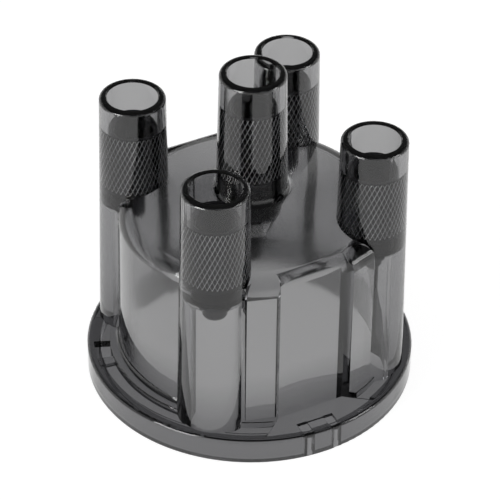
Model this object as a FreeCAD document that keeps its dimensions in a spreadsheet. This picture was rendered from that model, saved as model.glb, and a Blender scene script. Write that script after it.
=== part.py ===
import FreeCAD, Part
import math
import os
import re
import Sketcher
from FreeCAD import Vector

# Distributor cap of smoked clear plastic for a four cylinder engine.
# Millimetres, +Z up, origin at the centre of the flange's underside.
# The two clip seats lie at +Y and -Y, the lead towers between them.

doc = FreeCAD.newDocument("distributor_cap")
sheet = doc.addObject("Spreadsheet::Sheet", "Sizes")

SIZES = [
    # flange and the rings on top of it
    ("flange_radius", 40.0),
    ("flange_height", 7.0),
    ("flange_edge_round", 1.0),
    ("flange_foot_round", 0.4),
    ("lip_width", 2.65),
    ("groove_width", 2.65),
    ("groove_drop", 0.6),
    ("bead_rise", 1.0),
    ("bead_edge_round", 0.4),
    ("wall_foot_round", 1.5),
    # round wall and roof
    ("ledge_width", 7.8),
    ("wall_draft", 0.5),
    ("wall_thickness", 3.0),
    ("shoulder_height", 47.1),
    ("shoulder_round", 4.0),
    ("roof_slope", 12.7),
    ("roof_thickness", 3.2),
    ("roof_flare_round", 2.0),
    # flat walls behind the spring clips, set back between two slanting facets
    ("flat_setback", 1.8),
    ("flat_half_width", 8.75),
    ("flat_top_height", 48.0),
    ("flat_top_round", 3.5),
    ("crown_drop", 0.55),
    ("crown_round", 3.0),
    ("crown_reach", 4.0),
    ("step_depth", 1.2),
    ("step_run", 1.3),
    ("facet_run", 6.95),
    ("facet_drop", 2.3),
    # lead towers
    ("tower_setback", 2.735),
    ("tower_azimuth", 45.0),
    ("tower_height", 71.9),
    ("tower_top_radius", 7.94),
    ("tower_draft", 0.95),
    ("tower_rim_round", 1.0),
    ("centre_height", 84.4),
    # sockets for the leads
    ("socket_radius", 6.08),
    ("socket_chamfer", 0.3),
    # inside of the cap
    ("skirt_thickness", 3.25),
    ("register_depth", 4.5),
    ("register_chamfer", 0.4),
    ("ceiling_round", 2.0),
    ("channel_radius", 5.8),
    ("channel_height", 42.5),
    ("channel_round", 1.0),
    ("boss_radius", 7.0),
    ("boss_shoulder_height", 44.5),
    ("boss_round", 3.0),
    ("boss_tip_radius", 4.2),
    ("boss_tip_height", 38.5),
    ("boss_tip_round", 0.8),
    # clip seats, locating notch and the recess beside the left tower
    ("seat_height", 6.2),
    ("seat_corner_side", 15.2),
    ("seat_corner_margin", 4.4),
    ("seat_outer_margin", 1.5),
    ("seat_outer_half_width", 5.0),
    ("notch_azimuth", -92.3),
    ("notch_width", 6.8),
    ("notch_margin", 1.7),
    ("notch_height", 5.0),
    ("recess_height", 5.6),
    ("recess_inner_margin", 5.3),
    ("recess_outer_margin", 1.6),
    ("recess_start", -213.0),
    ("recess_end", -197.0),
    ("recess_gap_start", -189.5),
    ("recess_gap_end", -186.0),
    # turned terminals, moulded in
    ("insert_radius", 6.4),
    ("insert_share", 0.534),
    ("insert_seat_share", 0.187),
    ("insert_chamfer", 0.4),
    ("centre_insert_share", 0.559),
    ("centre_insert_seat_share", 0.169),
    ("collar_radius", 5.2),
    ("collar_length", 1.6),
    ("cup_radius", 4.7),
    ("cup_depth_share", 0.745),
    ("centre_cup_depth_share", 0.654),
    ("cup_chamfer", 0.5),
    ("pin_radius", 3.0),
    ("pin_tip_height", 36.6),
    ("pin_tip_round", 0.8),
    ("stem_radius", 4.0),
    ("stem_tip_height", 44.0),
    # carbon brush and its spring
    ("brush_radius", 2.5),
    ("brush_clearance", 0.08),
    ("brush_length", 15.0),
    ("brush_tip_height", 29.5),
    ("brush_tip_round", 1.2),
    ("brush_spigot_radius", 1.3),
    ("brush_spigot_length", 2.0),
    ("spring_bore_top", 56.5),
    ("spring_wire_radius", 0.25),
    ("spring_clearance", 0.15),
    ("spring_turns", 7.0),
]

# sizes that follow from the ones above
DERIVED = [
    ("lip_inner_radius", "flange_radius - lip_width"),
    ("bead_outer_radius", "flange_radius - lip_width - groove_width"),
    ("groove_floor", "flange_height - groove_drop"),
    ("bead_height", "flange_height + bead_rise"),
    ("wall_radius", "flange_radius - ledge_width"),
    ("register_radius", "flange_radius - skirt_thickness"),
    ("shoulder_radius", "wall_radius - (shoulder_height - bead_height) * tan(wall_draft)"),
    ("centre_foot_radius", "tower_top_radius + (centre_height - shoulder_height) * tan(tower_draft)"),
    ("roof_top_height", "shoulder_height + (shoulder_radius - centre_foot_radius) * tan(roof_slope)"),
    ("tower_circle_radius", "wall_radius - tower_setback"),
    ("tower_foot_radius", "tower_top_radius + tower_height * tan(tower_draft)"),
    ("tower_x", "tower_circle_radius * cos(tower_azimuth)"),
    ("tower_y", "tower_circle_radius * sin(tower_azimuth)"),
    ("flat_distance", "wall_radius - flat_setback"),
    ("step_side", "flat_half_width + step_run"),
    ("step_distance", "flat_distance + step_depth"),
    ("facet_side", "step_side + facet_run"),
    ("facet_distance", "step_distance - facet_drop"),
    ("facet_angle", "atan(facet_drop / facet_run)"),
    ("crown_height", "flat_top_height - crown_drop"),
    ("crown_inner_distance", "flat_distance - crown_reach"),
    ("crown_inner_height", "crown_height + crown_reach * tan(roof_slope)"),
    ("crown_clear_height", "crown_inner_height + crown_reach"),
    ("room_distance", "flat_distance - wall_thickness"),
    ("room_back_distance", "flat_distance - wall_thickness / 3"),
    ("room_half_width", "flat_half_width - wall_thickness * step_depth / (step_depth + step_run) / 2"),
    ("room_step_side", "step_side - wall_thickness * sin(facet_angle)"),
    ("room_step_distance", "step_distance - wall_thickness * cos(facet_angle)"),
    ("room_facet_side", "facet_side + wall_thickness * sin(facet_angle)"),
    ("room_facet_distance",
     "room_step_distance - (room_facet_side - room_step_side) * tan(facet_angle)"),
    ("cavity_mouth_radius", "wall_radius - wall_thickness"),
    ("cavity_top_radius", "shoulder_radius - wall_thickness"),
    ("cavity_edge_height",
     "shoulder_height + wall_thickness * tan(roof_slope) - roof_thickness"),
    ("ceiling_height",
     "cavity_edge_height + (cavity_top_radius - boss_radius) * tan(roof_slope)"),
    ("tower_core", "tower_height - channel_height"),
    ("insert_length", "insert_share * tower_core"),
    ("insert_base", "channel_height + insert_seat_share * tower_core"),
    ("insert_top", "insert_base + insert_length"),
    ("collar_base", "insert_base - collar_length"),
    ("cup_floor", "insert_top - cup_depth_share * insert_length"),
    ("centre_core", "centre_height - roof_top_height"),
    ("centre_insert_length", "centre_insert_share * centre_core"),
    ("centre_insert_base", "roof_top_height + centre_insert_seat_share * centre_core"),
    ("centre_insert_top", "centre_insert_base + centre_insert_length"),
    ("centre_collar_base", "centre_insert_base - collar_length"),
    ("centre_cup_floor", "centre_insert_top - centre_cup_depth_share * centre_insert_length"),
    ("seat_corner_distance", "flange_radius - seat_corner_margin"),
    ("seat_outer_distance", "flange_radius - seat_outer_margin"),
    ("notch_outer_distance", "flange_radius - notch_margin"),
    ("recess_inner_radius", "flange_radius - recess_inner_margin"),
    ("recess_outer_radius", "flange_radius - recess_outer_margin"),
    ("brush_bore_radius", "brush_radius + brush_clearance"),
    ("brush_shoulder", "brush_tip_height + brush_length"),
    ("spring_length", "spring_bore_top - brush_shoulder - 2 * spring_wire_radius"),
    ("spring_radius", "brush_bore_radius - spring_clearance - spring_wire_radius"),
]


def fill_sheet():
    for row, (alias, value) in enumerate(SIZES, start=1):
        sheet.set(f"A{row}", alias)
        sheet.set(f"B{row}", str(value))
        sheet.setAlias(f"B{row}", alias)
    for row, (alias, formula) in enumerate(DERIVED, start=len(SIZES) + 1):
        sheet.set(f"A{row}", alias)
        sheet.set(f"B{row}", "=" + formula)
        sheet.setAlias(f"B{row}", alias)
    doc.recompute()


def origin_part(body, role):
    """Return the body's own origin plane or axis of that role."""
    return next(part for part in body.Origin.OriginFeatures if part.Role == role)


def new_body(name):
    body = doc.addObject("PartDesign::Body", name)
    body.Label = name
    return body


def number(expression):
    """Evaluate an expression that names sizes without the sheet's name."""
    return float(sheet.evalExpression(expression))


def bound(expression):
    """Put the sheet's name before each size, for a constraint's expression."""
    names = {alias for alias, _ in SIZES + DERIVED}

    def with_sheet(word):
        return f"<<Sizes>>.{word[0]}" if word[0] in names else word[0]

    return re.sub("[a-z_]+", with_sheet, expression)


class Outline:
    """A closed outline of straight sides whose corners may be rounded.

    Each corner is (x, y, round), all of them expressions of the sheet.
    """

    def __init__(self, sketch):
        self.sketch = sketch

    def bind(self, constraint, expression):
        index = self.sketch.addConstraint(constraint)
        name = f"size{index}"
        self.sketch.renameConstraint(index, name)
        self.sketch.setExpression(f"Constraints.{name}", bound(expression))

    def place(self, geometry, point, x, y):
        """Tie a point to its distances from the sketch's two axes."""
        if x == "0":
            self.sketch.addConstraint(Sketcher.Constraint("PointOnObject", geometry, point, -2))
        else:
            self.bind(Sketcher.Constraint("DistanceX", -1, 1, geometry, point, number(x)), x)
        if y == "0":
            self.sketch.addConstraint(Sketcher.Constraint("PointOnObject", geometry, point, -1))
        else:
            self.bind(Sketcher.Constraint("DistanceY", -1, 1, geometry, point, number(y)), y)

    def draw(self, corners):
        sketch = self.sketch
        points = [Vector(number(x), number(y), 0) for x, y, _ in corners]
        rounds = [number(size) for _, _, size in corners]
        count = len(corners)
        arrive, leave, turns = [], [], []
        for i in range(count):
            back = (points[i - 1] - points[i]).normalize()
            ahead = (points[(i + 1) % count] - points[i]).normalize()
            reach = rounds[i] / math.tan(back.getAngle(ahead) / 2)
            arrive.append(points[i] + back * reach)
            leave.append(points[i] + ahead * reach)
            turns.append(ahead.cross(back).z > 0)
        lines = [
            sketch.addGeometry(Part.LineSegment(leave[i], arrive[(i + 1) % count]), False)
            for i in range(count)
        ]
        for i in range(count):
            x, y, size = corners[i]
            before, after = lines[i - 1], lines[i]
            if rounds[i] == 0:
                sketch.addConstraint(Sketcher.Constraint("Coincident", before, 2, after, 1))
                self.place(after, 1, x, y)
                continue
            back = (points[i - 1] - points[i]).normalize()
            ahead = (points[(i + 1) % count] - points[i]).normalize()
            half = back.getAngle(ahead) / 2
            inward = (back + ahead).normalize()
            centre = points[i] + inward * (rounds[i] / math.sin(half))
            middle = centre - inward * rounds[i]
            arc = sketch.addGeometry(Part.Arc(arrive[i], middle, leave[i]), False)
            # an arc's own points run anticlockwise, whichever way the outline turns
            first, last = (1, 2) if turns[i] else (2, 1)
            if (sketch.getPoint(arc, first) - arrive[i]).Length > 1e-6:
                first, last = last, first
            sketch.addConstraint(Sketcher.Constraint("Tangent", before, 2, arc, first))
            sketch.addConstraint(Sketcher.Constraint("Tangent", after, 1, arc, last))
            self.bind(Sketcher.Constraint("Radius", arc, rounds[i]), size)
            corner = sketch.addGeometry(Part.Point(points[i]), True)
            sketch.addConstraint(Sketcher.Constraint("PointOnObject", corner, 1, before))
            sketch.addConstraint(Sketcher.Constraint("PointOnObject", corner, 1, after))
            self.place(corner, 1, x, y)


def outline_sketch(body, name, role, corners, offset=None):
    """Draw an outline on one of the body's origin planes, moved by offset."""
    sketch = body.newObject("Sketcher::SketchObject", name)
    sketch.AttachmentSupport = [(origin_part(body, role), "")]
    sketch.MapMode = "FlatFace"
    for axis, expression in (offset or {}).items():
        sketch.setExpression(f"AttachmentOffset.Base.{axis}", bound(expression))
    Outline(sketch).draw(corners)
    sketch.Visibility = False
    return sketch


def turned(body, kind, name, corners, offset=None):
    """Turn an outline of the XZ plane about the sketch's upright axis."""
    sketch = outline_sketch(body, f"{name}_outline", "XZ_Plane", corners, offset)
    feature = body.newObject(f"PartDesign::{kind}", name)
    feature.Profile = sketch
    feature.ReferenceAxis = (sketch, ["V_Axis"])
    feature.Angle = 360.0
    doc.recompute()
    return feature


def four_times(body, feature):
    """Repeat a feature at the four towers."""
    pattern = body.newObject("PartDesign::PolarPattern", f"{feature.Name}_pattern")
    pattern.Originals = [feature]
    pattern.Axis = (origin_part(body, "Z_Axis"), [""])
    pattern.Angle = 360.0
    pattern.Occurrences = 4
    body.Tip = pattern
    doc.recompute()
    return pattern


def cut(body, name, corners, start, length, role="XY_Plane"):
    """Cut an outline of one of the body's planes, from a start and along its normal."""
    offset = {} if start == "0" else {"z": start}
    sketch = outline_sketch(body, f"{name}_outline", role, corners, offset)
    before = body.Tip.Shape.Volume
    pocket = body.newObject("PartDesign::Pocket", name)
    pocket.Profile = sketch
    pocket.Type = "Length"
    pocket.Reversed = True
    pocket.setExpression("Length", bound(length))
    body.Tip = pocket
    doc.recompute()
    if not before - pocket.Shape.Volume > 0.5:
        raise RuntimeError(f"{name} cuts nothing")
    return pocket


AT_TOWER = {"x": "tower_x", "z": "-tower_y"}


def flat_walls(body):
    """The block that carries the flats and their slanting facets, rounded at its top."""
    corners = [
        ("step_side", "-step_distance", "0"),
        ("facet_side", "-facet_distance", "0"),
        ("facet_side", "facet_distance", "0"),
        ("step_side", "step_distance", "0"),
        ("-step_side", "step_distance", "0"),
        ("-facet_side", "facet_distance", "0"),
        ("-facet_side", "-facet_distance", "0"),
        ("-step_side", "-step_distance", "0"),
    ]
    sketch = outline_sketch(body, "flat_walls_outline", "XY_Plane", corners)
    block = body.newObject("PartDesign::Pad", "flat_walls")
    block.Profile = sketch
    block.setExpression("Length", bound("flat_top_height"))
    doc.recompute()
    top = number("flat_top_height")
    edges = [
        f"Edge{index}"
        for index, edge in enumerate(block.Shape.Edges, start=1)
        if min(vertex.Z for vertex in edge.Vertexes) > top - 1e-6
    ]
    rounding = body.newObject("PartDesign::Fillet", "flat_walls_rounding")
    rounding.Base = (block, edges)
    rounding.setExpression("Radius", bound("flat_top_round"))
    body.Tip = rounding
    doc.recompute()


def drum(body):
    """Flange with its rings, round wall, sloping roof and centre tower."""
    corners = [
        ("0", "0", "0"),
        ("flange_radius", "0", "flange_foot_round"),
        ("flange_radius", "flange_height", "flange_edge_round"),
        ("lip_inner_radius", "flange_height", "0"),
        ("lip_inner_radius", "groove_floor", "0"),
        ("bead_outer_radius", "groove_floor", "0"),
        ("bead_outer_radius", "bead_height", "bead_edge_round"),
        ("wall_radius", "bead_height", "wall_foot_round"),
        ("shoulder_radius", "shoulder_height", "shoulder_round"),
        ("centre_foot_radius", "roof_top_height", "roof_flare_round"),
        ("tower_top_radius", "centre_height", "tower_rim_round"),
        ("0", "centre_height", "0"),
    ]
    turned(body, "Revolution", "drum", corners)


def towers(body):
    """Four tapered towers that run down the wall as columns."""
    corners = [
        ("0", "0", "0"),
        ("tower_foot_radius", "0", "0"),
        ("tower_top_radius", "tower_height", "tower_rim_round"),
        ("0", "tower_height", "0"),
    ]
    four_times(body, turned(body, "Revolution", "tower", corners, AT_TOWER))


def inside(body):
    """Register for the housing, cavity, boss under the roof and tower channels."""
    cavity = [
        ("0", "0", "0"),
        ("register_radius + register_chamfer", "0", "0"),
        ("register_radius", "register_chamfer", "0"),
        ("register_radius", "register_depth", "0"),
        ("cavity_mouth_radius", "register_depth", "0"),
        ("cavity_top_radius", "cavity_edge_height", "ceiling_round"),
        ("boss_radius", "ceiling_height", "0"),
        ("boss_radius", "boss_shoulder_height", "boss_round"),
        ("boss_tip_radius", "boss_tip_height", "boss_tip_round"),
        ("0", "boss_tip_height", "0"),
    ]
    turned(body, "Groove", "cavity", cavity)
    channel = [
        ("0", "0", "0"),
        ("channel_radius", "0", "0"),
        ("channel_radius", "channel_height", "channel_round"),
        ("0", "channel_height", "0"),
    ]
    four_times(body, turned(body, "Groove", "channel", channel, AT_TOWER))


def sockets(body):
    """Lead sockets, and the seats of the terminals that the plastic holds."""
    outer = [
        ("0", "tower_height", "0"),
        ("0", "channel_height", "0"),
        ("pin_radius", "channel_height", "0"),
        ("pin_radius", "collar_base", "0"),
        ("collar_radius", "collar_base", "0"),
        ("collar_radius", "insert_base", "0"),
        ("insert_radius - insert_chamfer", "insert_base", "0"),
        ("insert_radius", "insert_base + insert_chamfer", "0"),
        ("insert_radius", "insert_top", "0"),
        ("socket_radius", "insert_top", "0"),
        ("socket_radius", "tower_height - socket_chamfer", "0"),
        ("socket_radius + socket_chamfer", "tower_height", "0"),
    ]
    four_times(body, turned(body, "Groove", "socket", outer, AT_TOWER))
    centre = [
        ("0", "centre_height", "0"),
        ("0", "boss_tip_height", "0"),
        ("brush_bore_radius", "boss_tip_height", "0"),
        ("brush_bore_radius", "stem_tip_height", "0"),
        ("stem_radius", "stem_tip_height", "0"),
        ("stem_radius", "centre_collar_base", "0"),
        ("collar_radius", "centre_collar_base", "0"),
        ("collar_radius", "centre_insert_base", "0"),
        ("insert_radius - insert_chamfer", "centre_insert_base", "0"),
        ("insert_radius", "centre_insert_base + insert_chamfer", "0"),
        ("insert_radius", "centre_insert_top", "0"),
        ("socket_radius", "centre_insert_top", "0"),
        ("socket_radius", "centre_height - socket_chamfer", "0"),
        ("socket_radius + socket_chamfer", "centre_height", "0"),
    ]
    turned(body, "Groove", "centre_socket", centre)


def on_circle(radius, azimuth, sidestep="0"):
    """Corner at a radius and azimuth, stepped sideways along the circle."""
    x = f"({radius}) * cos({azimuth}) - ({sidestep}) * sin({azimuth})"
    y = f"({radius}) * sin({azimuth}) + ({sidestep}) * cos({azimuth})"
    return (x, y, "0")


def clip_ways(body):
    """Set back the flats and clear the flange in front of them for the clips."""
    for name, side in (("clip_way_front", "-"), ("clip_way_back", "")):
        way = [
            ("-flat_half_width", f"{side}flat_distance", "0"),
            ("flat_half_width", f"{side}flat_distance", "0"),
            ("step_side", f"{side}step_distance", "0"),
            ("seat_corner_side", f"{side}seat_corner_distance", "0"),
            ("seat_outer_half_width", f"{side}seat_outer_distance", "0"),
            ("-seat_outer_half_width", f"{side}seat_outer_distance", "0"),
            ("-seat_corner_side", f"{side}seat_corner_distance", "0"),
            ("-step_side", f"{side}step_distance", "0"),
        ]
        cut(body, name, way, "seat_height", "flat_top_height - seat_height + flat_top_round")
        crown = [
            (f"{side}seat_corner_distance", "seat_height", "0"),
            (f"{side}flat_distance", "seat_height", "0"),
            (f"{side}flat_distance", "crown_height", "crown_round"),
            (f"{side}crown_inner_distance", "crown_inner_height", "0"),
            (f"{side}crown_inner_distance", "crown_clear_height", "0"),
            (f"{side}seat_corner_distance", "crown_clear_height", "0"),
        ]
        cut(body, f"{name}_crown", crown, "-flat_half_width", "2 * flat_half_width", "YZ_Plane")


def rooms(body):
    """Carry the flats and facets through to the inside, at the wall's own thickness."""
    for name, side in (("front", "-"), ("back", "")):
        wall = [
            ("-room_half_width", f"{side}room_distance", "0"),
            ("room_half_width", f"{side}room_distance", "0"),
            ("room_step_side", f"{side}room_step_distance", "0"),
            ("room_step_side", f"{side}room_back_distance", "0"),
            ("-room_step_side", f"{side}room_back_distance", "0"),
            ("-room_step_side", f"{side}room_step_distance", "0"),
        ]
        sketch = outline_sketch(body, f"inner_flat_{name}_outline", "XY_Plane", wall, {"z": "register_depth"})
        pad = body.newObject("PartDesign::Pad", f"inner_flat_{name}")
        pad.Profile = sketch
        pad.setExpression("Length", bound("cavity_edge_height + roof_thickness / 2 - register_depth"))
        body.Tip = pad
        doc.recompute()
        for hand in ("", "-"):
            room = [
                (f"{hand}room_step_side", f"{side}room_step_distance", "0"),
                (f"{hand}room_facet_side", f"{side}room_facet_distance", "0"),
                (f"{hand}room_facet_side", f"{side}(room_facet_distance - wall_thickness)", "0"),
                (f"{hand}room_half_width", f"{side}(room_facet_distance - wall_thickness)", "0"),
                (f"{hand}room_half_width", f"{side}room_distance", "0"),
            ]
            place = "left" if hand else "right"
            cut(body, f"room_{name}_{place}", room, "register_depth",
                       "cavity_edge_height - register_depth - ceiling_round")


def flange_cuts(body):
    """Locating notch and the recess beside the left tower."""
    notch = [
        on_circle("register_radius - groove_width", "notch_azimuth", "-notch_width / 2"),
        on_circle("notch_outer_distance", "notch_azimuth", "-notch_width / 2"),
        on_circle("notch_outer_distance", "notch_azimuth", "notch_width / 2"),
        on_circle("register_radius - groove_width", "notch_azimuth", "notch_width / 2"),
    ]
    cut(body, "notch", notch, "0", "notch_height")
    spans = (("recess", "recess_start", "recess_end"),
             ("recess_gap", "recess_gap_start", "recess_gap_end"))
    for name, start, end in spans:
        recess = [
            on_circle("recess_inner_radius", start),
            on_circle("recess_outer_radius", start),
            on_circle("recess_outer_radius", end),
            on_circle("recess_inner_radius", end),
        ]
        cut(body, name, recess, "recess_height", "flange_height - recess_height + bead_rise")


def cap_body():
    body = new_body("cap_body")
    flat_walls(body)
    drum(body)
    clip_ways(body)
    towers(body)
    inside(body)
    rooms(body)
    sockets(body)
    flange_cuts(body)
    return body


def outer_terminal(position):
    """Turned cup with a contact pin, moulded into one outer tower."""
    body = new_body(f"outer_terminal_{position}")
    corners = [
        ("0", "pin_tip_height", "0"),
        ("pin_radius", "pin_tip_height", "pin_tip_round"),
        ("pin_radius", "collar_base", "0"),
        ("collar_radius", "collar_base", "0"),
        ("collar_radius", "insert_base", "0"),
        ("insert_radius - insert_chamfer", "insert_base", "0"),
        ("insert_radius", "insert_base + insert_chamfer", "0"),
        ("insert_radius", "insert_top", "0"),
        ("cup_radius + cup_chamfer", "insert_top", "0"),
        ("cup_radius", "insert_top - cup_chamfer", "0"),
        ("cup_radius", "cup_floor", "0"),
        ("0", "cup_floor", "0"),
    ]
    turned(body, "Revolution", f"{body.Name}_turning", corners)
    azimuth = f"tower_azimuth + {90 * (position + 1)}"
    body.setExpression("Placement.Base.x", bound(f"tower_circle_radius * cos({azimuth})"))
    body.setExpression("Placement.Base.y", bound(f"tower_circle_radius * sin({azimuth})"))
    return body


def centre_terminal():
    """Turned cup whose hollow stem guides the brush spring."""
    body = new_body("centre_terminal")
    corners = [
        ("brush_bore_radius", "stem_tip_height", "0"),
        ("stem_radius", "stem_tip_height", "0"),
        ("stem_radius", "centre_collar_base", "0"),
        ("collar_radius", "centre_collar_base", "0"),
        ("collar_radius", "centre_insert_base", "0"),
        ("insert_radius - insert_chamfer", "centre_insert_base", "0"),
        ("insert_radius", "centre_insert_base + insert_chamfer", "0"),
        ("insert_radius", "centre_insert_top", "0"),
        ("cup_radius + cup_chamfer", "centre_insert_top", "0"),
        ("cup_radius", "centre_insert_top - cup_chamfer", "0"),
        ("cup_radius", "centre_cup_floor", "0"),
        ("0", "centre_cup_floor", "0"),
        ("0", "spring_bore_top", "0"),
        ("brush_bore_radius", "spring_bore_top", "0"),
    ]
    turned(body, "Revolution", "centre_terminal_turning", corners)
    return body


def carbon_brush():
    """Round brush with a spigot that the spring's end coil grips."""
    body = new_body("carbon_brush")
    corners = [
        ("0", "brush_tip_height", "0"),
        ("brush_radius", "brush_tip_height", "brush_tip_round"),
        ("brush_radius", "brush_shoulder", "0"),
        ("brush_spigot_radius", "brush_shoulder", "0"),
        ("brush_spigot_radius", "brush_shoulder + brush_spigot_length", "0"),
        ("0", "brush_shoulder + brush_spigot_length", "0"),
    ]
    turned(body, "Revolution", "carbon_brush_turning", corners)
    return body


def brush_spring():
    """Coil spring between the brush's shoulder and the end of the stem's bore."""
    coil = doc.addObject("Part::Helix", "spring_coil")
    coil.setExpression("Radius", bound("spring_radius"))
    coil.setExpression("Height", bound("spring_length"))
    coil.setExpression("Pitch", bound("spring_length / spring_turns"))
    wire = doc.addObject("Part::Circle", "spring_wire")
    wire.setExpression("Radius", bound("spring_wire_radius"))
    wire.Placement.Rotation = FreeCAD.Rotation(Vector(1, 0, 0), 90)
    wire.setExpression("Placement.Base.x", bound("spring_radius"))
    spring = doc.addObject("Part::Sweep", "brush_spring")
    spring.Label = "brush_spring"
    spring.Sections = [wire]
    spring.Spine = (coil, ["Edge1"])
    spring.Solid = True
    spring.Frenet = True
    spring.setExpression("Placement.Base.z", bound("brush_shoulder + spring_wire_radius"))
    return spring


def check(pieces):
    """Stop on a failed object, or on a piece that is not a valid solid."""
    for item in doc.Objects:
        if "Invalid" in item.State or "Error" in item.State:
            raise RuntimeError(f"{item.Label} failed: {item.State}")
    for piece in pieces:
        shape = piece.Shape
        if shape.isNull() or not shape.isValid() or len(shape.Solids) != 1:
            raise RuntimeError(f"{piece.Label} is not one valid solid")


fill_sheet()
pieces = [cap_body()]
pieces += [outer_terminal(position) for position in (1, 2, 3, 4)]
pieces += [centre_terminal(), brush_spring(), carbon_brush()]
doc.recompute()
check(pieces)

os.makedirs("parts", exist_ok=True)
for piece in pieces:
    piece.Shape.exportStep(f"parts/{piece.Label}.step")
    box = piece.Shape.BoundBox
    print(f"{piece.Label}: {piece.Shape.Volume:.1f} mm3, z {box.ZMin:.2f} to {box.ZMax:.2f}")
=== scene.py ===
import math

import bmesh
import bpy
from mathutils import Matrix, Vector


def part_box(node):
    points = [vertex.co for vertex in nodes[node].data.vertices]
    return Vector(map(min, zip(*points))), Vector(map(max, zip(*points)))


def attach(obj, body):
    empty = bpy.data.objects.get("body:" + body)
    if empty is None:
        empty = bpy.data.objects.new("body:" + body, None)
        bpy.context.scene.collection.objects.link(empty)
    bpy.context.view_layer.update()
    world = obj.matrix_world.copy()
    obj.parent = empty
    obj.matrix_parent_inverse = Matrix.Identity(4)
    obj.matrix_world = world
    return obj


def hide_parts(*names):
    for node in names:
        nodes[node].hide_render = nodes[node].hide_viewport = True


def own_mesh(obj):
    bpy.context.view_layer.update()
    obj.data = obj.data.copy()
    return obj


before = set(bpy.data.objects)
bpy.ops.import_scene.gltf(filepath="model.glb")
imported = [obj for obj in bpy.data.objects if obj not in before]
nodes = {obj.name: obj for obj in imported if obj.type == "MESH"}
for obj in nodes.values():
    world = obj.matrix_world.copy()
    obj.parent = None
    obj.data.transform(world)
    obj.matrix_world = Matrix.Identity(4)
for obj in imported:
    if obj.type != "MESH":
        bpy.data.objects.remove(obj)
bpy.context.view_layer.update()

MM = 0.001

# Turned terminals, in the part's own sizes
SEAT_OVERLAP = 0.03 * MM       # metal stands this far into the plastic that grips it
CUP_RADIUS = 4.7 * MM
CUP_DEPTH = 11.7 * MM
CUP_CHAMFER = 0.5 * MM
INSERT_RADIUS = 6.4 * MM
INSERT_CHAMFER = 0.4 * MM
COLLAR_RADIUS = 5.2 * MM
COLLAR_LENGTH = 1.6 * MM
PIN_RADIUS = 3.0 * MM
PIN_ROUND = 0.8 * MM
PIN_BREAK = 0.24 * MM          # middle of the pin's rounded edge
STEM_RADIUS = 4.0 * MM
SPRING_BORE_RADIUS = 2.58 * MM
SPRING_BORE_TOP = 56.5 * MM
INSERT_LENGTH = {"outer": 15.7 * MM, "centre": 17.9 * MM}

# Knurl: 38 ridges each way round, 2.66 mm from one to the next along the axis
KNURL_COUNT = 38
KNURL_LEAD = 2.66 * MM
KNURL_HEIGHT = 0.06 * MM
KNURL_STOP = 0.05 * MM         # it ends this far below the mouth of the cup
KNURL_STEPS = 6
KNURL_WEAK_SHARE = 0.62
KNURL_SPLIT = {"quad_method": "FIXED"}

# Rings that the turning tool leaves
RING_WIDTH = MM / 9
RING_REACH = 50 / 3 * MM

# Grain of the drawn wire, and of the pressed carbon
WIRE_GRAIN = 10 / 9 * MM
CARBON_GRAIN = 0.4 * MM
CARBON_GRAIN_DEPTH = 0.1 * MM

# Chamber under the roof, whose walls are matt
CHAMBER_RADIUS = 30.3 * MM
CHAMBER_TOP = 49.8 * MM
CHAMBER_EDGE = 0.05 * MM
CHAMBER_ROUGHNESS = 0.1
GLOSS_ROUGHNESS = 0.02

# Faint waviness that moulding leaves in the plastic's skin
RIPPLE_WIDTH = 6.25 * MM
RIPPLE_DEPTH = 0.2 * MM

# Grey base colour that darkens the plastic towards the foot: full on the flange, fading out up the walls
FOOT_DARKENING_TOP = 21.0 * MM
FOOT_DARKENING_FULL = 6.0 * MM

# Flange details in the clear body: stops and recess beside the left tower, two locating slots
STOP_BAND = (34.4 * MM, 38.45 * MM)
STOP_TOP = 7.5 * MM
RECESS_BAND = (34.7 * MM, 38.4 * MM)
RECESS_FLOOR = 5.6 * MM
FILL_FOOT = 5.0 * MM
LIP_RADIUS = 37.35 * MM
LIP_TOP = 7.0 * MM
GROOVE_FLOOR = 6.4 * MM
STOP_AZIMUTHS = (143.0, 157.5, 167.5, 171.5, 174.2)
REGISTER_RADIUS = 36.75 * MM
NOTCH_AZIMUTH = -92.3
NOTCH_HALF_ANGLE = 5.5
NOTCH_OUTER = 38.4 * MM
NOTCH_TOP = 5.0 * MM
SLOT_AZIMUTH = math.radians(-91.65)
SLOT_SIDE = 3.45 * MM
SLOT_HALF_WIDTH = 1.3 * MM
SLOT_INNER = 34.1 * MM
SLOT_CENTRE = 37.7 * MM
SLOT_TOP = 5.4 * MM
SLOT_ROUND_STEPS = 12
CUTTER_SPARE = 2 * MM          # cutters reach this far past what they cut

# Edges blunter than this many degrees are shaded smooth
WIRE_SMOOTHING = 40
TURNED_SMOOTHING = 22

# Copies of CAD meshes, and normals taken over from them
MERGE_REACH = 1e-7
MICROMETRE = 1e-6
SAME_SURFACE = math.cos(math.radians(20))

# Sockets of a colour mix node
MIX_FROM = 6
MIX_TO = 7
MIXED = 2

# Camera fitted to the photo
CAMERA_AZIMUTH = math.radians(-28.958)
CAMERA_ELEVATION = math.radians(37.179)
CAMERA_DISTANCE = 676.574 * MM
CAMERA_FOCUS_PIXELS = 2805.596
CAMERA_ROLL = math.radians(0.76)
CAMERA_SIDE = -0.179 * MM
CAMERA_AIM_HEIGHT = 33.046 * MM
PHOTO_PIXELS = 500


def linear(hexadecimal, alpha=1.0):
    """Turn an sRGB hex colour to the linear values that shaders read."""
    parts = [int(hexadecimal[i:i + 2], 16) / 255 for i in (1, 3, 5)]
    return tuple(c / 12.92 if c <= 0.04045 else ((c + 0.055) / 1.055) ** 2.4 for c in parts) + (alpha,)


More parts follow.
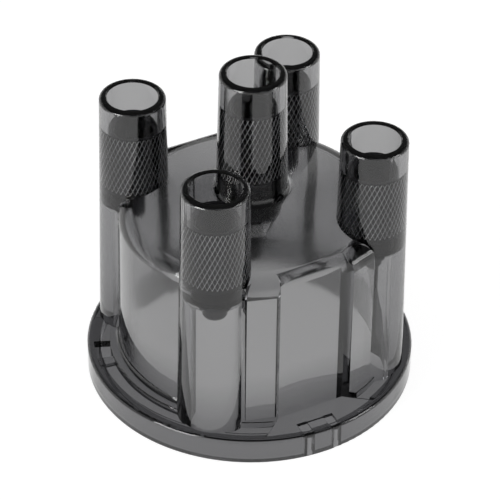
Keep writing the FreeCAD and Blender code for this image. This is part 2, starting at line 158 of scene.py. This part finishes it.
def add(tree, kind, inputs=None, settings=None, **values):
    """Add a node, set its properties, and give its inputs sockets to follow or plain values."""
    node = tree.nodes.new(kind)
    for name, value in (settings or {}).items():
        setattr(node, name, value)
    for name, value in values.items():
        node.inputs[name.replace("_", " ")].default_value = value
    for name, source in (inputs or {}).items():
        if isinstance(source, bpy.types.NodeSocket):
            tree.links.new(source, node.inputs[name])
        else:
            node.inputs[name].default_value = source
    return node


def new_material(name):
    """Empty material with its node tree."""
    material = bpy.data.materials.new(name)
    material.use_nodes = True
    material.node_tree.nodes.clear()
    return material, material.node_tree


# Materials

def smoked_polycarbonate():
    """Injection moulded polycarbonate with a smoke tint: clear, glossy, darker where it is thick.

    The chamber inside is finely matt, which softens what is seen through the walls, and a grey
    base colour low down dims what is seen through the flange, darker towards the foot.
    """
    material, tree = new_material("smoked_polycarbonate")
    place = add(tree, "ShaderNodeTexCoord").outputs["Object"]
    flat_place = add(tree, "ShaderNodeVectorMath", {0: place, 1: (1, 1, 0)}, {"operation": "MULTIPLY"})
    reach = add(tree, "ShaderNodeVectorMath", {"Vector": flat_place.outputs[0]}, {"operation": "LENGTH"})
    height = add(tree, "ShaderNodeSeparateXYZ", {"Vector": place}).outputs["Z"]
    near_axis = add(
        tree, "ShaderNodeMapRange", {"Value": reach.outputs["Value"]},
        From_Min=CHAMBER_RADIUS, From_Max=CHAMBER_RADIUS + CHAMBER_EDGE, To_Min=1.0, To_Max=0.0,
    ).outputs[0]
    below_roof = add(
        tree, "ShaderNodeMapRange", {"Value": height},
        From_Min=CHAMBER_TOP, From_Max=CHAMBER_TOP + CHAMBER_EDGE, To_Min=CHAMBER_ROUGHNESS, To_Max=0.0,
    ).outputs[0]
    matt = add(tree, "ShaderNodeMath", {0: near_axis, 1: below_roof, 2: GLOSS_ROUGHNESS},
               {"operation": "MULTIPLY_ADD"})
    ripple = add(tree, "ShaderNodeTexNoise", {"Vector": place}, Scale=1 / RIPPLE_WIDTH, Detail=2.0)
    bump = add(tree, "ShaderNodeBump", {"Height": ripple.outputs["Fac"]},
               Strength=0.05, Distance=RIPPLE_DEPTH)
    # Darker towards the foot: the base colour greys from the walls down to the flange
    foot_darkening = add(tree, "ShaderNodeMapRange", {"Value": height},
               From_Min=FOOT_DARKENING_FULL, From_Max=FOOT_DARKENING_TOP, To_Min=1.0, To_Max=0.0)
    shade = add(tree, "ShaderNodeMix",
                {"Factor": foot_darkening.outputs[0], MIX_FROM: linear("#fdfdfd"), MIX_TO: linear("#b8b8ba")},
                {"data_type": "RGBA"})
    surface = add(
        tree, "ShaderNodeBsdfPrincipled",
        {"Normal": bump.outputs["Normal"], "Roughness": matt.outputs[0],
         "Base Color": shade.outputs[MIXED]},
        IOR=1.585, Transmission_Weight=1.0,
    )
    tint = add(tree, "ShaderNodeVolumeAbsorption", Color=linear("#bdbdbf"), Density=345.0)
    add(tree, "ShaderNodeOutputMaterial",
        {"Surface": surface.outputs["BSDF"], "Volume": tint.outputs["Volume"]})
    return material


def turned_metal():
    """Turned and knurled metal: fine rings left by the tool, with a painted highlight on the knurl's crests
    and painted shade in its valleys.
    """
    material, tree = new_material("turned_metal")
    place = add(tree, "ShaderNodeTexCoord").outputs["Object"]
    round_axis = add(tree, "ShaderNodeMapping", {"Vector": place},
                     Scale=(1 / RING_REACH, 1 / RING_REACH, 1 / RING_WIDTH))
    rings = add(tree, "ShaderNodeTexNoise", {"Vector": round_axis.outputs["Vector"]},
                Scale=1.0, Detail=3.0)
    rough = add(tree, "ShaderNodeMapRange", {"Value": rings.outputs["Fac"]}, To_Min=0.2, To_Max=0.4)
    # Painted shade darkens the knurl's valleys, and a painted highlight lightens its crests to near white
    valley = add(tree, "ShaderNodeAttribute", settings={"attribute_name": "valley"}).outputs["Fac"]
    raised = add(tree, "ShaderNodeAttribute", settings={"attribute_name": "crest"}).outputs["Fac"]
    crest = add(tree, "ShaderNodeMapRange", {"Value": raised}, From_Min=0.2).outputs["Result"]
    metal_with_painted_valley_shade = add(tree, "ShaderNodeMix",
               {"Factor": valley, MIX_FROM: linear("#38383b"), MIX_TO: linear("#161618")},
               {"data_type": "RGBA"})
    shade = add(tree, "ShaderNodeMix",
                {"Factor": crest, MIX_FROM: metal_with_painted_valley_shade.outputs[MIXED], MIX_TO: linear("#ececee")},
                {"data_type": "RGBA"})
    surface = add(
        tree, "ShaderNodeBsdfPrincipled",
        {"Base Color": shade.outputs[MIXED], "Roughness": rough.outputs["Result"]}, Metallic=1.0,
    )
    add(tree, "ShaderNodeOutputMaterial", {"Surface": surface.outputs["BSDF"]})
    return material


def spring_steel():
    """Spring steel, drawn to wire and coiled: grey and half bright, with a faint grain."""
    material, tree = new_material("drawn_spring_steel")
    place = add(tree, "ShaderNodeTexCoord").outputs["Object"]
    grain = add(tree, "ShaderNodeTexNoise", {"Vector": place}, Scale=1 / WIRE_GRAIN, Detail=2.0)
    rough = add(tree, "ShaderNodeMapRange", {"Value": grain.outputs["Fac"]}, To_Min=0.25, To_Max=0.4)
    surface = add(
        tree, "ShaderNodeBsdfPrincipled", {"Roughness": rough.outputs["Result"]},
        Base_Color=linear("#8f8f92"), Metallic=1.0,
    )
    add(tree, "ShaderNodeOutputMaterial", {"Surface": surface.outputs["BSDF"]})
    return material


def pressed_carbon():
    """Pressed carbon and graphite: near black, with a dull sheen and a fine grain."""
    material, tree = new_material("pressed_carbon")
    place = add(tree, "ShaderNodeTexCoord").outputs["Object"]
    grain = add(tree, "ShaderNodeTexNoise", {"Vector": place}, Scale=1 / CARBON_GRAIN, Detail=4.0)
    shade = add(tree, "ShaderNodeMix",
                {"Factor": grain.outputs["Fac"], MIX_FROM: linear("#1c1c1d"), MIX_TO: linear("#333335")},
                {"data_type": "RGBA"})
    bump = add(tree, "ShaderNodeBump", {"Height": grain.outputs["Fac"]},
               Strength=0.3, Distance=CARBON_GRAIN_DEPTH)
    surface = add(
        tree, "ShaderNodeBsdfPrincipled",
        {"Base Color": shade.outputs[MIXED], "Normal": bump.outputs["Normal"]}, Roughness=0.5,
    )
    add(tree, "ShaderNodeOutputMaterial", {"Surface": surface.outputs["BSDF"]})
    return material


# Pieces

def lathe(name, profile, centre, steps=96):
    """Turn a closed profile of (radius, height) about the upright axis through centre."""
    mesh = bpy.data.meshes.new(name)
    form = bmesh.new()
    rings = []
    for radius, height in profile:
        if radius == 0:
            rings.append([form.verts.new((centre[0], centre[1], height))] * steps)
            continue
        rings.append([
            form.verts.new((
                centre[0] + radius * math.cos(2 * math.pi * i / steps),
                centre[1] + radius * math.sin(2 * math.pi * i / steps),
                height,
            ))
            for i in range(steps)
        ])
    pairs = list(zip(rings, rings[1:]))
    if profile[0][0] or profile[-1][0]:
        pairs.append((rings[-1], rings[0]))
    for lower, upper in pairs:
        for i in range(steps):
            j = (i + 1) % steps
            corners = []
            for corner in (lower[i], lower[j], upper[j], upper[i]):
                if corner not in corners:
                    corners.append(corner)
            if len(corners) > 2:
                form.faces.new(corners)
    bmesh.ops.recalc_face_normals(form, faces=form.faces)
    form.to_mesh(mesh)
    form.free()
    return mesh


def prism(name, corners, low, high):
    """Upright block over an outline that runs anticlockwise."""
    mesh = bpy.data.meshes.new(name)
    count = len(corners)
    rows = [(x, y, z) for z in (low, high) for x, y in corners]
    sides = [(i, (i + 1) % count, (i + 1) % count + count, i + count) for i in range(count)]
    mesh.from_pydata(rows, [], [tuple(reversed(range(count))), tuple(range(count, 2 * count))] + sides)
    return bpy.data.objects.new(name, mesh)


def sector(name, band, start, end, low, high):
    """Block between two radii and two azimuths in degrees."""
    steps = max(2, round(end - start))
    angles = [math.radians(start + (end - start) * i / steps) for i in range(steps + 1)]
    inner, outer = band
    corners = [(outer * math.cos(a), outer * math.sin(a)) for a in angles]
    corners += [(inner * math.cos(a), inner * math.sin(a)) for a in reversed(angles)]
    return prism(name, corners, low, high)


def slot_block(name, side):
    """Radial block with a round outer end."""
    ahead = Vector((math.cos(SLOT_AZIMUTH), math.sin(SLOT_AZIMUTH)))
    across = Vector((-ahead.y, ahead.x))
    middle = ahead * SLOT_CENTRE + across * side
    turns = [math.pi * (i / SLOT_ROUND_STEPS - 0.5) for i in range(SLOT_ROUND_STEPS + 1)]
    corners = [middle + (ahead * math.cos(t) + across * math.sin(t)) * SLOT_HALF_WIDTH for t in turns]
    inner = ahead * SLOT_INNER + across * side
    corners += [inner + across * SLOT_HALF_WIDTH, inner - across * SLOT_HALF_WIDTH]
    return prism(name, [tuple(corner) for corner in corners], -CUTTER_SPARE, SLOT_TOP)


def combine(piece, operation, blocks):
    """Add blocks to a piece or cut them out of it."""
    for block in blocks:
        bpy.context.scene.collection.objects.link(block)
        change = piece.modifiers.new(block.name, "BOOLEAN")
        change.operation = operation
        change.solver = "EXACT"
        change.object = block
    bpy.context.view_layer.update()
    depsgraph = bpy.context.evaluated_depsgraph_get()
    mesh = bpy.data.meshes.new_from_object(piece.evaluated_get(depsgraph))
    piece.modifiers.clear()
    piece.data = mesh
    for block in blocks:
        bpy.data.objects.remove(block)


def spot_key(place):
    """Whole micrometres of a point, so that points of two meshes can be matched."""
    return tuple(round(value / MICROMETRE) for value in place)


def keep_normals(mesh, source):
    """Give every corner the normal that the source mesh has there for the same surface."""
    known = {}
    for corner, normal in zip(source.loops, source.corner_normals):
        known.setdefault(spot_key(source.vertices[corner.vertex_index].co), []).append(normal.vector.copy())
    normals = []
    for polygon in mesh.polygons:
        flat = polygon.normal
        for index in polygon.vertices:
            found = known.get(spot_key(mesh.vertices[index].co), ())
            best = max(found, key=flat.dot, default=flat)
            normals.append(best if best.dot(flat) > SAME_SURFACE else flat.copy())
    mesh.polygons.foreach_set("use_smooth", [True] * len(mesh.polygons))
    mesh.normals_split_custom_set(normals)


def merged_copy(name, source):
    """Copy of a CAD node whose loose triangles are joined."""
    mesh = source.data.copy()
    form = bmesh.new()
    form.from_mesh(mesh)
    bmesh.ops.remove_doubles(form, verts=form.verts, dist=MERGE_REACH)
    form.to_mesh(mesh)
    form.free()
    piece = bpy.data.objects.new(name, mesh)
    bpy.context.scene.collection.objects.link(piece)
    return piece


def clear_body(source, material):
    """Copy of the moulded body with the flange's small stops and slots worked in."""
    piece = merged_copy("clear_body", source)
    start, recess_start, recess_end, end, gap_end = STOP_AZIMUTHS
    inner, outer = STOP_BAND
    fillers = [
        sector("stop_wide", STOP_BAND, start, recess_start, FILL_FOOT, STOP_TOP),
        sector("stop_narrow", STOP_BAND, recess_end, end, FILL_FOOT, STOP_TOP),
        sector("groove_end", (inner, LIP_RADIUS), end, gap_end, FILL_FOOT, GROOVE_FLOOR),
        sector("lip_end", (LIP_RADIUS, outer), end, gap_end, FILL_FOOT, LIP_TOP),
        sector("notch_fill", (REGISTER_RADIUS, NOTCH_OUTER), NOTCH_AZIMUTH - NOTCH_HALF_ANGLE,
               NOTCH_AZIMUTH + NOTCH_HALF_ANGLE, 0.0, NOTCH_TOP),
    ]
    combine(piece, "UNION", fillers)
    cutters = [
        sector("recess", RECESS_BAND, recess_start, recess_end, RECESS_FLOOR, STOP_TOP + CUTTER_SPARE),
        slot_block("slot_left", -SLOT_SIDE),
        slot_block("slot_right", SLOT_SIDE),
    ]
    combine(piece, "DIFFERENCE", cutters)
    piece.data.materials.clear()
    piece.data.materials.append(material)
    keep_normals(piece.data, source.data)
    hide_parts("cap_body")
    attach(piece, "cap")
    return piece


def coil_spring(source):
    """Copy of the brush spring, with its loose triangles joined and shaded smooth."""
    piece = merged_copy("coil_spring", source)
    smooth_below(piece, WIRE_SMOOTHING)
    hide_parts("brush_spring")
    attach(piece, "cap")
    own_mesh(piece)
    return piece


# Sums of the knurl's nodes: name, operation and what it works on, in the order in which they follow
KNURL_SUMS = [
    ("length", "SUBTRACT", "High", "Low"),
    ("rows a lead", "MULTIPLY", "Steps", 2),
    ("faces round", "MULTIPLY", "Count", "Steps"),
    ("columns", "ADD", "faces round", 1),
    ("leads", "DIVIDE", "length", "Lead"),
    ("faces up", "MULTIPLY", "leads", "rows a lead"),
    ("whole faces up", "CEIL", "faces up"),
    ("rows", "ADD", "whole faces up", 1),
    ("within point", "ADD", "index", 0.5),
    ("point over rows", "DIVIDE", "within point", "rows"),
    ("column", "FLOOR", "point over rows"),
    ("points before", "MULTIPLY", "column", "rows"),
    ("row", "SUBTRACT", "index", "points before"),
    ("rising", "DIVIDE", "column", "Steps"),
    ("climb", "DIVIDE", "row", "rows a lead"),
    ("two climbs", "MULTIPLY", "climb", 2),
    ("falling", "SUBTRACT", "rising", "two climbs"),
    ("turn", "SUBTRACT", "rising", "climb"),
    ("share of turn", "DIVIDE", "turn", "Count"),
    ("angle", "MULTIPLY", "share of turn", 2 * math.pi),
    ("lift", "MULTIPLY", "climb", "Lead"),
    ("rise", "MINIMUM", "lift", "length"),
]
for ridge in ("rising", "falling"):
    KNURL_SUMS += [
        (f"{ridge} shifted", "ADD", ridge, 1000),
        (f"{ridge} place", "FRACT", f"{ridge} shifted"),
        (f"{ridge} rest", "SUBTRACT", 1, f"{ridge} place"),
        (f"{ridge} away", "MINIMUM", f"{ridge} place", f"{ridge} rest"),
        (f"{ridge} steps away", "MULTIPLY", f"{ridge} away", "Steps"),
        (f"{ridge} ridge", "SUBTRACT", 1, f"{ridge} steps away"),
    ]
KNURL_SUMS += [
    ("weak ridge", "MULTIPLY", "rising ridge", "Weak Share"),
    ("upper ridge", "MAXIMUM", "weak ridge", "falling ridge"),
    ("crest", "MAXIMUM", "upper ridge", 0),
    ("valley", "SUBTRACT", 1, "crest"),
    ("swell", "MULTIPLY", "crest", "Height"),
    ("radius", "ADD", "Radius", "swell"),
    ("cosine", "COSINE", "angle"),
    ("sine", "SINE", "angle"),
    ("x reach", "MULTIPLY", "radius", "cosine"),
    ("y reach", "MULTIPLY", "radius", "sine"),
    ("x", "ADD", "x reach", "Centre X"),
    ("y", "ADD", "y reach", "Centre Y"),
    ("z", "ADD", "Low", "rise"),
]


def knurl_tree():
    """Geometry nodes that raise two crossing sets of helical ridges on a sleeve.

    The grid's lines follow one set of ridges and the cut across each face follows the other.
    """
    tree = bpy.data.node_groups.new("knurled_sleeve", "GeometryNodeTree")
    face = tree.interface
    face.new_socket("Geometry", in_out="OUTPUT", socket_type="NodeSocketGeometry")
    face.new_socket("Turning", in_out="INPUT", socket_type="NodeSocketGeometry")
    sizes = {
        "Centre X": 0.0, "Centre Y": 0.0, "Low": 0.0, "High": INSERT_LENGTH["outer"],
        "Radius": INSERT_RADIUS, "Height": KNURL_HEIGHT, "Lead": KNURL_LEAD,
        "Count": float(KNURL_COUNT), "Steps": float(KNURL_STEPS), "Weak Share": KNURL_WEAK_SHARE,
    }
    for name, value in sizes.items():
        socket = face.new_socket(name, in_out="INPUT", socket_type="NodeSocketFloat")
        socket.default_value = value
    face.new_socket("Metal", in_out="INPUT", socket_type="NodeSocketMaterial")
    given = add(tree, "NodeGroupInput").outputs
    known = {name: given[name] for name in sizes}
    known["index"] = add(tree, "GeometryNodeInputIndex").outputs[0]
    for name, operation, *terms in KNURL_SUMS:
        inputs = {i: known.get(term, term) for i, term in enumerate(terms)}
        known[name] = add(tree, "ShaderNodeMath", inputs, {"operation": operation}).outputs[0]
    grid = add(tree, "GeometryNodeMeshGrid", {"Vertices X": known["columns"], "Vertices Y": known["rows"]})
    spot = add(tree, "ShaderNodeCombineXYZ", {"X": known["x"], "Y": known["y"], "Z": known["z"]})
    rolled = add(tree, "GeometryNodeSetPosition",
                 {"Geometry": grid.outputs["Mesh"], "Position": spot.outputs[0]})
    split = add(tree, "GeometryNodeTriangulate", {"Mesh": rolled.outputs[0]}, KNURL_SPLIT)
    closed = add(tree, "GeometryNodeMergeByDistance", {"Geometry": split.outputs[0]}, Distance=MICROMETRE)
    marked = closed.outputs[0]
    for name in ("crest", "valley"):
        marked = add(tree, "GeometryNodeStoreNamedAttribute",
                     {"Geometry": marked, "Value": known[name]}, Name=name).outputs[0]
    whole = add(tree, "GeometryNodeJoinGeometry", {0: marked})
    tree.links.new(given["Turning"], whole.inputs[0])
    real = add(tree, "GeometryNodeRealizeInstances", {"Geometry": whole.outputs[0]})
    dressed = add(tree, "GeometryNodeSetMaterial",
                  {"Geometry": real.outputs[0], "Material": given["Metal"]})
    add(tree, "NodeGroupOutput", {"Geometry": dressed.outputs[0]})
    return tree


def knurled(turning, tree, centre, low, high, metal):
    """Run the knurl's nodes on a turned mesh and return both as one plain mesh."""
    carrier = bpy.data.objects.new(turning.name, turning)
    bpy.context.scene.collection.objects.link(carrier)
    modifier = carrier.modifiers.new("knurl", "NODES")
    modifier.node_group = tree
    sizes = {
        "Centre X": centre[0], "Centre Y": centre[1], "Low": low, "High": high,
        "Radius": INSERT_RADIUS + SEAT_OVERLAP, "Height": KNURL_HEIGHT, "Lead": KNURL_LEAD,
        "Count": float(KNURL_COUNT), "Steps": float(KNURL_STEPS), "Weak Share": KNURL_WEAK_SHARE,
        "Metal": metal,
    }
    for item in tree.interface.items_tree:
        if item.name in sizes:
            modifier[item.identifier] = sizes[item.name]
    bpy.context.view_layer.update()
    depsgraph = bpy.context.evaluated_depsgraph_get()
    mesh = bpy.data.meshes.new_from_object(carrier.evaluated_get(depsgraph))
    carrier.modifiers.remove(modifier)
    bpy.data.objects.remove(carrier)
    return mesh


def terminal(node, tree, metal):
    """Replace a plain terminal by one whose outside is knurled."""
    low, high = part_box(node)
    centre = ((low[0] + high[0]) / 2, (low[1] + high[1]) / 2)
    top = high[2]
    role = "centre" if node == "centre_terminal" else "outer"
    base = top - INSERT_LENGTH[role]
    collar = base - COLLAR_LENGTH
    floor = top - CUP_DEPTH
    grip = SEAT_OVERLAP
    if role == "outer":
        foot = [
            (0, low[2]),
            (PIN_RADIUS - PIN_ROUND, low[2]),
            (PIN_RADIUS - PIN_BREAK, low[2] + PIN_BREAK),
            (PIN_RADIUS + grip, low[2] + PIN_ROUND),
            (PIN_RADIUS + grip, collar - grip),
        ]
        head = [(0, floor)]
    else:
        foot = [
            (SPRING_BORE_RADIUS, low[2] - grip),
            (STEM_RADIUS + grip, low[2] - grip),
            (STEM_RADIUS + grip, collar - grip),
        ]
        head = [(0, floor), (0, SPRING_BORE_TOP), (SPRING_BORE_RADIUS, SPRING_BORE_TOP)]
    profile = foot + [
        (COLLAR_RADIUS + grip, collar - grip),
        (COLLAR_RADIUS + grip, base - grip),
        (INSERT_RADIUS + grip - INSERT_CHAMFER, base - grip),
        (INSERT_RADIUS + grip, base + INSERT_CHAMFER),
        (INSERT_RADIUS + grip, top),
        (CUP_RADIUS + CUP_CHAMFER, top),
        (CUP_RADIUS, top - CUP_CHAMFER),
        (CUP_RADIUS, floor),
    ] + head
    turning = lathe(f"{node}_turning", profile, centre)
    mesh = knurled(turning, tree, centre, base, top - KNURL_STOP, metal)
    piece = bpy.data.objects.new(f"{node}_knurled", mesh)
    bpy.context.scene.collection.objects.link(piece)
    smooth_below(piece, TURNED_SMOOTHING)
    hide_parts(node)
    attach(piece, "cap")
    return piece


def smooth_below(piece, degrees):
    """Shade smooth wherever two faces meet at less than an angle."""
    mesh = piece.data
    mesh.polygons.foreach_set("use_smooth", [True] * len(mesh.polygons))
    mesh.set_sharp_from_angle(angle=math.radians(degrees))


# Build

plastic = smoked_polycarbonate()
metal = turned_metal()


def give(node, material):
    """Put a material on a CAD node."""
    nodes[node].data.materials.clear()
    nodes[node].data.materials.append(material)


give("cap_body", plastic)
clear_body(nodes["cap_body"], plastic)
give("brush_spring", spring_steel())
coil_spring(nodes["brush_spring"])
give("carbon_brush", pressed_carbon())
sleeve_tree = knurl_tree()
for name in sorted(nodes):
    if name.endswith("terminal") or "terminal_" in name:
        give(name, metal)
        terminal(name, sleeve_tree, metal)

# Camera

camera_data = bpy.data.cameras.new("camera")
camera_data.sensor_width = 36.0
camera_data.lens = CAMERA_FOCUS_PIXELS / PHOTO_PIXELS * camera_data.sensor_width
camera_data.clip_start = 10 * MM
camera = bpy.data.objects.new("camera", camera_data)
bpy.context.scene.collection.objects.link(camera)
back = Vector((
    math.sin(CAMERA_AZIMUTH) * math.cos(CAMERA_ELEVATION),
    -math.cos(CAMERA_AZIMUTH) * math.cos(CAMERA_ELEVATION),
    math.sin(CAMERA_ELEVATION),
))
right = Vector((math.cos(CAMERA_AZIMUTH), math.sin(CAMERA_AZIMUTH), 0))
up = back.cross(right)
rolled_right = right * math.cos(CAMERA_ROLL) + up * math.sin(CAMERA_ROLL)
rolled_up = up * math.cos(CAMERA_ROLL) - right * math.sin(CAMERA_ROLL)
place = back * CAMERA_DISTANCE + right * CAMERA_SIDE + Vector((0, 0, CAMERA_AIM_HEIGHT))
camera.matrix_world = Matrix((
    (rolled_right.x, rolled_up.x, back.x, place.x),
    (rolled_right.y, rolled_up.y, back.y, place.y),
    (rolled_right.z, rolled_up.z, back.z, place.z),
    (0, 0, 0, 1),
))
bpy.context.scene.camera = camera

# Floor, lamps and background

# A ray bent by the plastic counts as glossy as well, so it sees the white at 0.45
SEEN_SHARES = {"Is Camera Ray": 1.0, "Is Glossy Ray": 1.0, "Is Transmission Ray": -0.55}

FLOOR_REACH = 3.0
FLOOR_DROP = 0.1 * MM
ROOM_STRENGTH = 0.35
# The room is shown white up to the first height of direction, and nearly dark from the second on
SHOWN_HEIGHTS = (0.12, 0.5)
SHOWN_STRENGTHS = (1.0, 0.1)
LAMP_TARGET = (0, 0, 0.05)
LAMPS = {
    "key_left": {"place": (-0.75, -0.2, 0.2), "size": (0.4, 0.5), "watts": 4.0},
    "fill_right": {"place": (0.6, -0.55, 0.3), "size": (0.3, 0.5), "watts": 1.5},
}


def seen_share(tree):
    """How much of the background a ray shows: nothing for the light that falls on things."""
    path = add(tree, "ShaderNodeLightPath")
    total = 0.0
    for name, share in SEEN_SHARES.items():
        total = add(tree, "ShaderNodeMath", {0: path.outputs[name], 1: share, 2: total},
                    {"operation": "MULTIPLY_ADD"}).outputs[0]
    return total


def studio_floor():
    """White sheet: glows for the rays that see it, and still takes the cap's soft shadow."""
    material, tree = new_material("white_sheet")
    matt = add(tree, "ShaderNodeBsdfDiffuse", Color=linear("#9a9a9a"))
    glow = add(tree, "ShaderNodeEmission", {"Strength": seen_share(tree)}, Color=linear("#f2f2f2"))
    both = add(tree, "ShaderNodeAddShader", {0: matt.outputs[0], 1: glow.outputs[0]})
    add(tree, "ShaderNodeOutputMaterial", {"Surface": both.outputs[0]})
    mesh = bpy.data.meshes.new("floor")
    corners = [(-1, -1), (1, -1), (1, 1), (-1, 1)]
    rows = [(x * FLOOR_REACH, y * FLOOR_REACH, -FLOOR_DROP) for x, y in corners]
    mesh.from_pydata(rows, [], [(0, 1, 2, 3)])
    mesh.materials.append(material)
    floor = bpy.data.objects.new("floor", mesh)
    bpy.context.scene.collection.objects.link(floor)


def area_lamp(name, place, size, watts):
    """Soft box that faces the cap."""
    data = bpy.data.lights.new(name, "AREA")
    data.shape = "RECTANGLE"
    data.size = size[0]
    data.size_y = size[1]
    data.energy = watts
    lamp = bpy.data.objects.new(name, data)
    lamp.location = place
    lamp.rotation_euler = (Vector(LAMP_TARGET) - lamp.location).to_track_quat("-Z", "Y").to_euler()
    bpy.context.scene.collection.objects.link(lamp)


def white_world():
    """Room that lights the cap evenly and shows white near the horizon."""
    world = bpy.data.worlds.new("white_room")
    world.use_nodes = True
    tree = world.node_tree
    tree.nodes.clear()
    room = add(tree, "ShaderNodeBackground", Color=linear("#ffffff"), Strength=ROOM_STRENGTH)
    direction = add(tree, "ShaderNodeTexCoord").outputs["Generated"]
    height = add(tree, "ShaderNodeSeparateXYZ", {"Vector": direction}).outputs["Z"]
    share = add(tree, "ShaderNodeMapRange", {"Value": height},
                From_Min=SHOWN_HEIGHTS[0], From_Max=SHOWN_HEIGHTS[1],
                To_Min=SHOWN_STRENGTHS[0], To_Max=SHOWN_STRENGTHS[1])
    shown = add(tree, "ShaderNodeBackground", {"Strength": share.outputs["Result"]},
                Color=linear("#ffffff"))
    mix = add(tree, "ShaderNodeMixShader",
              {0: seen_share(tree), 1: room.outputs[0], 2: shown.outputs[0]})
    add(tree, "ShaderNodeOutputWorld", {"Surface": mix.outputs[0]})
    bpy.context.scene.world = world


studio_floor()
white_world()
for name, lamp in LAMPS.items():
    area_lamp(name, **lamp)

scene = bpy.context.scene
scene.view_settings.view_transform = "Standard"
scene.cycles.max_bounces = 32
scene.cycles.transmission_bounces = 32
scene.cycles.glossy_bounces = 8
